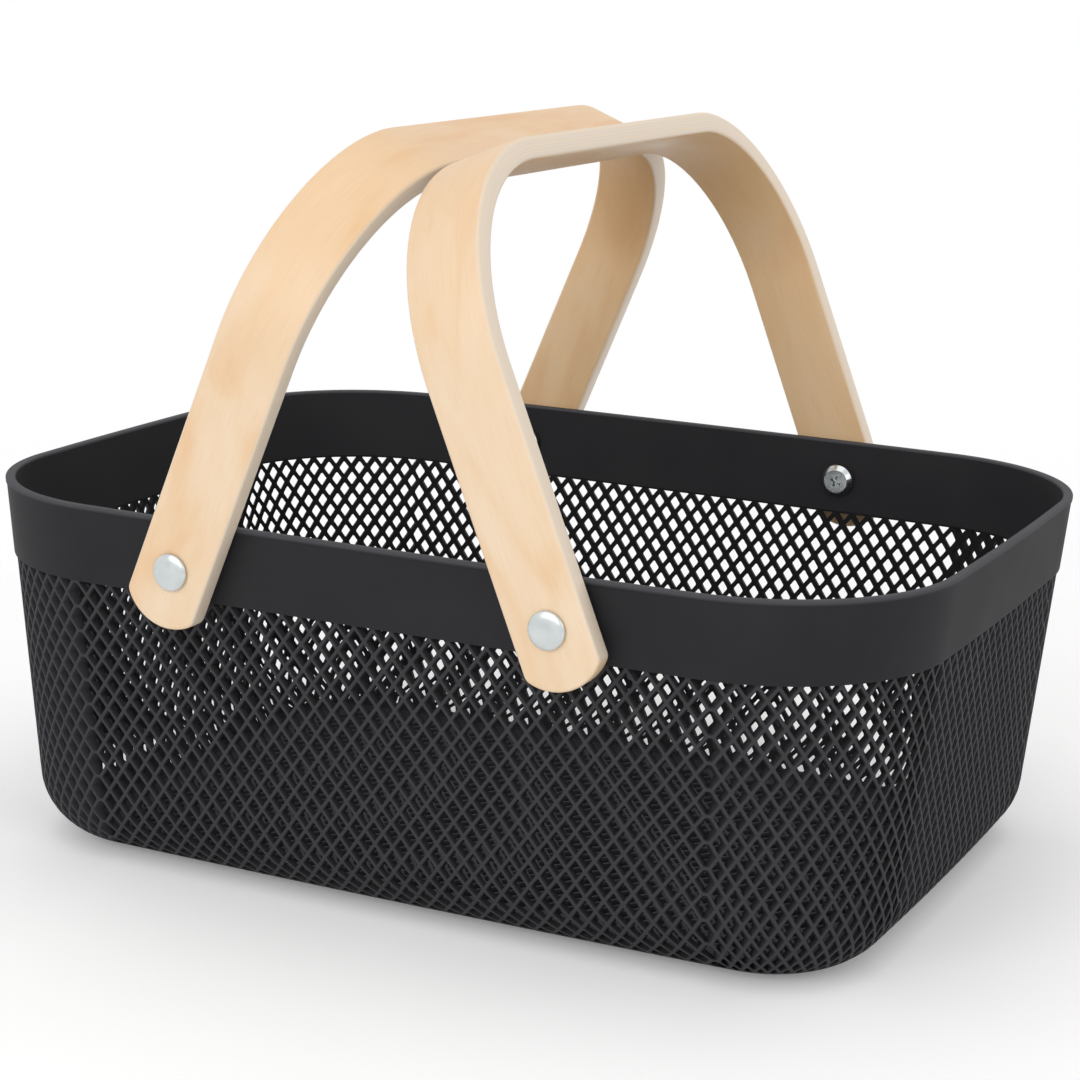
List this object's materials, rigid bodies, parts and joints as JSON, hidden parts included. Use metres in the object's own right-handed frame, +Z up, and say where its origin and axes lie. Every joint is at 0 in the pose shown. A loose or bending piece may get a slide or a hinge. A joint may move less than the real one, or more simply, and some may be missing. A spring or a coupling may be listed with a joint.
{
  "type": "carrying basket",
  "caption": "Open rectangular carrying basket with a lattice-walled plastic tub and two bent wooden handles that swing outward on side pivots.",
  "frame": {"origin": "on the ground, under the middle of the tub", "axes": "+X along the tub's length towards the right handle's pivots, +Y towards the back long side, +Z up"},
  "size_m": [0.3606, 0.2848, 0.2659],
  "materials": {
    "tub_plastic": "satin moulded, near black",
    "birch_plywood": "clear matt lacquer on pale birch veneer",
    "zinc_plated_steel": "bright zinc plating",
    "washer_plastic": "black nylon"
  },
  "bodies": {
    "tub": {"basket_body": "tub_plastic", "front_left_cap_nut": "zinc_plated_steel", "front_left_washer": "washer_plastic", "front_left_screw": "zinc_plated_steel", "front_right_cap_nut": "zinc_plated_steel", "front_right_washer": "washer_plastic", "front_right_screw": "zinc_plated_steel", "back_left_cap_nut": "zinc_plated_steel", "back_left_washer": "washer_plastic", "back_left_screw": "zinc_plated_steel", "back_right_cap_nut": "zinc_plated_steel", "back_right_washer": "washer_plastic", "back_right_screw": "zinc_plated_steel"},
    "left_handle_body": {"left_handle": "birch_plywood"},
    "right_handle_body": {"right_handle": "birch_plywood"}
  },
  "joints": [
    {"name": "left_handle_pivot", "type": "hinge", "parent": "tub", "child": "left_handle_body", "pos_m": [-0.07, 0, 0.1193], "axis": [0, -1, 0], "range_deg": [0, 156]},
    {"name": "right_handle_pivot", "type": "hinge", "parent": "tub", "child": "right_handle_body", "pos_m": [0.07, 0, 0.1193], "axis": [0, 1, 0], "range_deg": [0, 156]}
  ]
}
